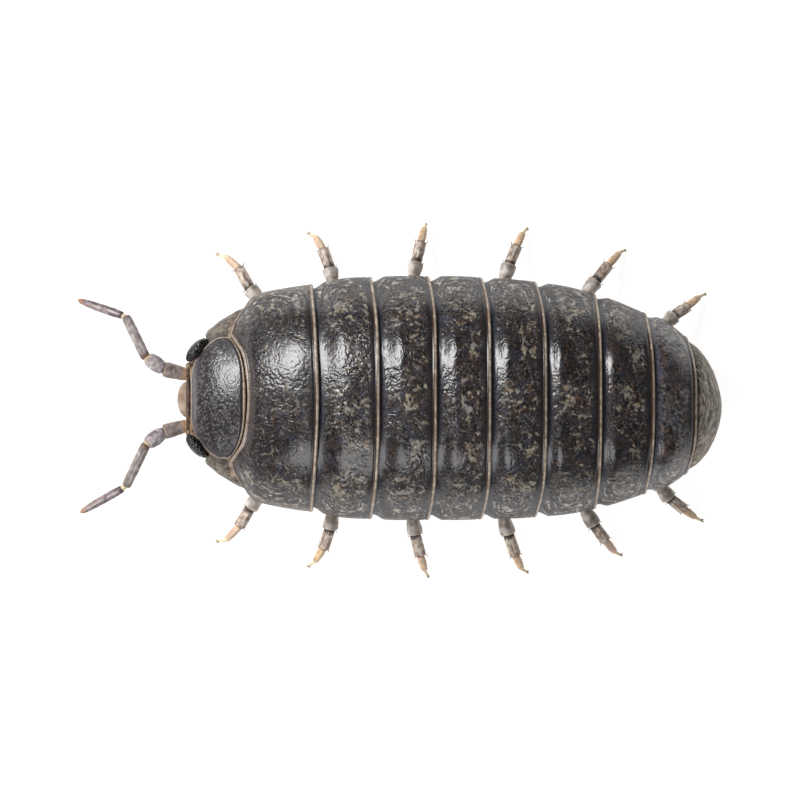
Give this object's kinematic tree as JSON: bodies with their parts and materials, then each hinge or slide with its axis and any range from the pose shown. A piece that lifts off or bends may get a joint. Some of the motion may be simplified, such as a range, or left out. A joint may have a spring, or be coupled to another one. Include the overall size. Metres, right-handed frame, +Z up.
{
  "type": "woodlouse",
  "caption": "Life-size still model of a pill woodlouse with arched overlapping back plates, standing on its legs with antennae spread forward.",
  "frame": {"origin": "on the floor, under the middle of the whole model's footprint", "axes": "+Z up, the body lies along X with the head towards -X, the animal's right side towards +Y"},
  "size_m": [0.0212, 0.0118, 0.005],
  "materials": {
    "shell": "dark slate shell, finely wrinkled, satin gloss, with pale tan rear margins and mottles",
    "tail_shell": "grey-brown shell with fine pale streaks, satin",
    "head_shell": "blue-grey finely grained shell with a tan rim, satin",
    "collar": "grey-tan wrinkled shell, satin",
    "face": "pale tan shell, satin",
    "eye": "black beaded compound eye, glossy",
    "antenna": "grey-brown streaked articles with cream joints, satin",
    "leg": "grey to orange-tan articles with brown rings, satin, slightly translucent",
    "belly": "pale cream-grey soft underside",
    "gill": "pale overlapping gill plates with whitish patches"
  },
  "bodies": {
    "root": {"antenna_left_1": "antenna", "antenna_left_2": "antenna", "antenna_left_3": "antenna", "antenna_left_4": "antenna", "antenna_right_1": "antenna", "antenna_right_2": "antenna", "antenna_right_3": "antenna", "antenna_right_4": "antenna", "clypeus": "face", "collar_left": "collar", "collar_right": "collar", "eye_left": "eye", "eye_right": "eye", "head": "head_shell", "leg_left_1": "leg", "leg_left_2": "leg", "leg_left_3": "leg", "leg_left_4": "leg", "leg_left_5": "leg", "leg_left_6": "leg", "leg_left_7": "leg", "leg_right_1": "leg", "leg_right_2": "leg", "leg_right_3": "leg", "leg_right_4": "leg", "leg_right_5": "leg", "leg_right_6": "leg", "leg_right_7": "leg", "mouthparts": "face", "plate_1": "shell", "plate_2": "shell", "plate_3": "shell", "plate_4": "shell", "plate_5": "shell", "plate_6": "shell", "plate_7": "shell", "plate_8": "shell", "plate_9": "tail_shell", "pleopods": "gill", "trunk": "belly", "uropod_left": "tail_shell", "uropod_right": "tail_shell"}
  },
  "joints": []
}
